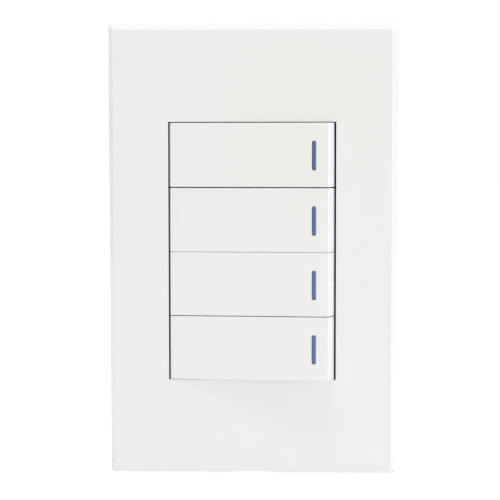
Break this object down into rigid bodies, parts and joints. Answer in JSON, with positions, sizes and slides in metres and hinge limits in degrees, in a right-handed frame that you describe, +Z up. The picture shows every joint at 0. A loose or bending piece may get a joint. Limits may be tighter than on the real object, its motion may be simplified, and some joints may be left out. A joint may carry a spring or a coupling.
{
  "type": "four-gang light switch",
  "caption": "Tall wall light switch: wide rockers that tip about upright pivots, each with a narrow blue indicator lens, in a clipped-on white cover plate.",
  "frame": {"origin": "middle of the two box-fixing slots, on the strap's back face, which lies on the wall", "axes": "+X to the right seen from the front, +Y into the wall, +Z up; the rockers face -Y"},
  "size_m": [0.077, 0.0356, 0.12],
  "materials": {
    "white_plastic": "smooth glossy warm white",
    "blue_lens": "glossy translucent blue",
    "frame_plastic": "fine matt",
    "deck_plastic": "fine matt",
    "base_plastic": "fine matt",
    "carrier_plastic": "fine matt",
    "plunger_plastic": "smooth",
    "zinc_steel": "bright zinc plate",
    "screw_steel": "zinc plate",
    "spring_steel": "drawn wire",
    "brass": "pressed, bright",
    "copper": "pressed copper alloy, bright",
    "silver": "silver alloy",
    "circuit_board": "solder mask"
  },
  "bodies": {
    "switch_body": {"cover_plate": "white_plastic", "inner_frame": "frame_plastic", "plate_screws": "screw_steel", "mounting_strap": "zinc_steel", "pivot_deck": "deck_plastic", "switch_base": "base_plastic", "terminal_screws": "screw_steel", "fixed_contact_1": "silver", "common_terminal_1": "brass", "load_terminal_1": "brass", "lamp_board_1": "circuit_board", "fixed_contact_2": "silver", "common_terminal_2": "brass", "load_terminal_2": "brass", "lamp_board_2": "circuit_board", "fixed_contact_3": "silver", "common_terminal_3": "brass", "load_terminal_3": "brass", "lamp_board_3": "circuit_board", "fixed_contact_4": "silver", "common_terminal_4": "brass", "load_terminal_4": "brass", "lamp_board_4": "circuit_board"},
    "rocker_body_1": {"rocker_1": "white_plastic", "indicator_lens_1": "blue_lens", "rocker_carrier_1": "carrier_plastic", "plunger_spring_1": "spring_steel", "plunger_1": "plunger_plastic"},
    "lever_body_1": {"contact_lever_1": "copper", "moving_contact_1": "silver"},
    "rocker_body_2": {"rocker_2": "white_plastic", "indicator_lens_2": "blue_lens", "rocker_carrier_2": "carrier_plastic", "plunger_spring_2": "spring_steel", "plunger_2": "plunger_plastic"},
    "lever_body_2": {"contact_lever_2": "copper", "moving_contact_2": "silver"},
    "rocker_body_3": {"rocker_3": "white_plastic", "indicator_lens_3": "blue_lens", "rocker_carrier_3": "carrier_plastic", "plunger_spring_3": "spring_steel", "plunger_3": "plunger_plastic"},
    "lever_body_3": {"contact_lever_3": "copper", "moving_contact_3": "silver"},
    "rocker_body_4": {"rocker_4": "white_plastic", "indicator_lens_4": "blue_lens", "rocker_carrier_4": "carrier_plastic", "plunger_spring_4": "spring_steel", "plunger_4": "plunger_plastic"},
    "lever_body_4": {"contact_lever_4": "copper", "moving_contact_4": "silver"}
  },
  "joints": [
    {"name": "rocker_1_tilt", "type": "hinge", "parent": "switch_body", "child": "rocker_body_1", "pos_m": [0, 0, 0.0254], "axis": [0, 0, 1], "range_deg": [0, 8.8]},
    {"name": "lever_1_tilt", "type": "hinge", "parent": "switch_body", "child": "lever_body_1", "pos_m": [0, 0.0123, 0.0254], "axis": [0, 0, 1], "range_deg": [-14, 0]},
    {"name": "rocker_2_tilt", "type": "hinge", "parent": "switch_body", "child": "rocker_body_2", "pos_m": [0, 0, 0.00847], "axis": [0, 0, 1], "range_deg": [0, 8.8]},
    {"name": "lever_2_tilt", "type": "hinge", "parent": "switch_body", "child": "lever_body_2", "pos_m": [0, 0.0123, 0.00847], "axis": [0, 0, 1], "range_deg": [-14, 0]},
    {"name": "rocker_3_tilt", "type": "hinge", "parent": "switch_body", "child": "rocker_body_3", "pos_m": [0, 0, -0.00847], "axis": [0, 0, 1], "range_deg": [0, 8.8]},
    {"name": "lever_3_tilt", "type": "hinge", "parent": "switch_body", "child": "lever_body_3", "pos_m": [0, 0.0123, -0.00847], "axis": [0, 0, 1], "range_deg": [-14, 0]},
    {"name": "rocker_4_tilt", "type": "hinge", "parent": "switch_body", "child": "rocker_body_4", "pos_m": [0, 0, -0.0254], "axis": [0, 0, 1], "range_deg": [0, 8.8]},
    {"name": "lever_4_tilt", "type": "hinge", "parent": "switch_body", "child": "lever_body_4", "pos_m": [0, 0.0123, -0.0254], "axis": [0, 0, 1], "range_deg": [-14, 0]}
  ],
  "couplings": [
    {"joint": "lever_1_tilt", "follows": "rocker_1_tilt", "ratio": -1.5887},
    {"joint": "lever_2_tilt", "follows": "rocker_2_tilt", "ratio": -1.5887},
    {"joint": "lever_3_tilt", "follows": "rocker_3_tilt", "ratio": -1.5887},
    {"joint": "lever_4_tilt", "follows": "rocker_4_tilt", "ratio": -1.5887}
  ]
}
